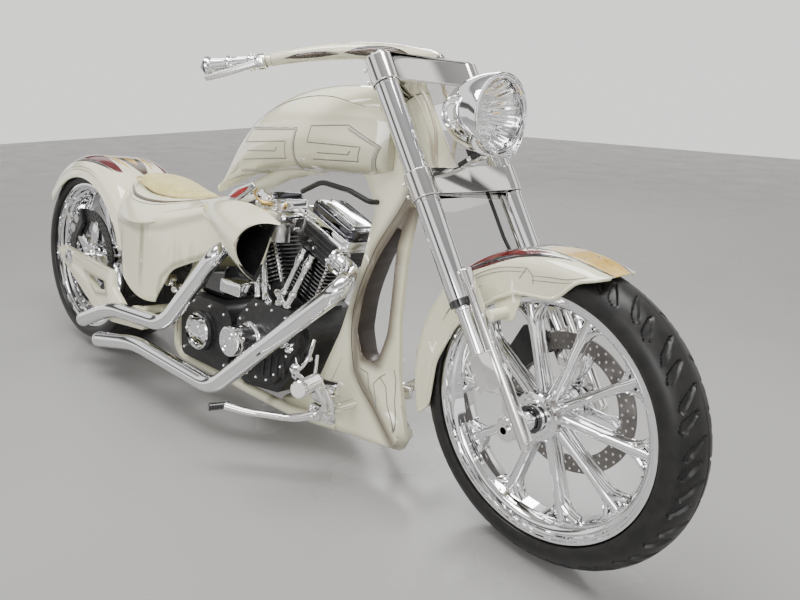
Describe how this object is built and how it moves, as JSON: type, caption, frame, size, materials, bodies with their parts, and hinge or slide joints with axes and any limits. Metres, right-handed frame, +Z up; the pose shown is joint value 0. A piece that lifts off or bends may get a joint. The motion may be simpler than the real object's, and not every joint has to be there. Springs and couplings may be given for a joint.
{
  "type": "cruiser motorcycle",
  "caption": "Low custom cruiser motorcycle with a raked fork, stretched teardrop tank, wide rear tyre, air-cooled V-twin, twin swept pipes and a side stand it leans on.",
  "frame": {"origin": "centre of the parked motorcycle's bounding box, on the floor", "axes": "+X forward, the way it rides, +Y to the rider's left, +Z up; the motorcycle leans to the left onto its stand"},
  "size_m": [2.6404, 0.9108, 1.1219],
  "materials": {
    "body_paint": "gloss cream lacquer with thin grey pinstripes",
    "frame_paint": "gloss cream lacquer with thin grey pinstripes",
    "black_paint": "satin black engine paint",
    "chrome": "bright chrome",
    "polished_metal": "polished",
    "rotor_steel": "brushed rotor steel",
    "tyre_rubber": "treaded black rubber",
    "hose_rubber": "satin black rubber",
    "belt_rubber": "toothed black belt",
    "saddle_leather": "pale yellow leather",
    "headlamp_glass": "clear moulded glass",
    "lamp_lens": "clear red lens"
  },
  "bodies": {
    "chassis": {"frame": "frame_paint", "fuel_tank": "body_paint", "tail_body": "body_paint", "seat_pad": "saddle_leather", "rear_fender": "body_paint", "swingarm": "body_paint", "rear_axle": "chrome", "crankcase": "black_paint", "cylinders": "black_paint", "rocker_boxes": "chrome", "pushrod_tubes": "chrome", "timing_can": "chrome", "carburettor": "polished_metal", "air_scoop": "body_paint", "exhaust_pipes": "chrome", "gearbox": "black_paint", "oil_tank": "black_paint", "primary_cover": "chrome", "drive_belt": "belt_rubber", "foot_controls": "chrome", "rear_caliper": "polished_metal", "breather_hose": "hose_rubber", "tail_lamp": "lamp_lens"},
    "rear_wheel": {"rear_tyre": "tyre_rubber", "rear_rim": "chrome", "rear_disc": "rotor_steel", "rear_pulley": "black_paint"},
    "side_stand": {"side_stand": "chrome"},
    "steering": {"top_tree": "polished_metal", "bottom_tree": "polished_metal", "fork_tubes": "polished_metal", "fork_sliders": "chrome", "fork_legs": "polished_metal", "front_axle": "chrome", "handlebar": "chrome", "grips": "chrome", "levers": "chrome", "headlamp_shell": "chrome", "headlamp_lens": "headlamp_glass", "front_fender": "body_paint", "front_caliper": "polished_metal", "brake_hose": "hose_rubber"},
    "front_wheel": {"front_tyre": "tyre_rubber", "front_rim": "chrome", "front_disc": "rotor_steel"}
  },
  "joints": [
    {"name": "rear_wheel_spin", "type": "hinge", "parent": "chassis", "child": "rear_wheel", "pos_m": [-0.97722, -0.0921, 0.34364], "axis": [0, 0.9888, -0.1495], "continuous": true},
    {"name": "steering_turn", "type": "hinge", "parent": "chassis", "child": "steering", "pos_m": [0.92212, -0.09621, 0.31652], "axis": [-0.5358, 0.1263, 0.8348], "range_deg": [-17.8, 34.2]},
    {"name": "front_wheel_spin", "type": "hinge", "parent": "steering", "child": "front_wheel", "pos_m": [0.97226, -0.09991, 0.34926], "axis": [0.1204, 0.9901, -0.0724], "continuous": true},
    {"name": "side_stand_fold", "type": "hinge", "parent": "chassis", "child": "side_stand", "pos_m": [0.06278, 0.02188, 0.09424], "axis": [0, 0.4311, 0.9023], "range_deg": [0, 95]}
  ]
}
